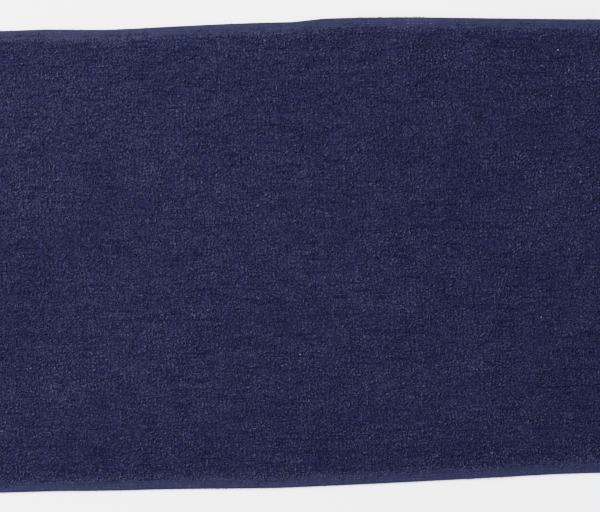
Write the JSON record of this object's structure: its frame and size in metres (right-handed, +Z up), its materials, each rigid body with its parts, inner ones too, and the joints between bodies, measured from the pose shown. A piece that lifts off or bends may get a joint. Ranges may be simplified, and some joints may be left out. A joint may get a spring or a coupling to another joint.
{
  "type": "sports towel",
  "caption": "Long narrow sports towel of looped terry cloth with flat turned hems on all four edges, lying spread out flat.",
  "frame": {"origin": "on the surface the towel lies on, under the middle of the towel", "axes": "+X along the towel's length, +Y across it, +Z up, out of its upper face"},
  "size_m": [1, 0.3038, 0.0049],
  "materials": {
    "terry": "matte looped cotton pile, navy"
  },
  "bodies": {
    "root": {"towel": "terry"}
  },
  "joints": []
}
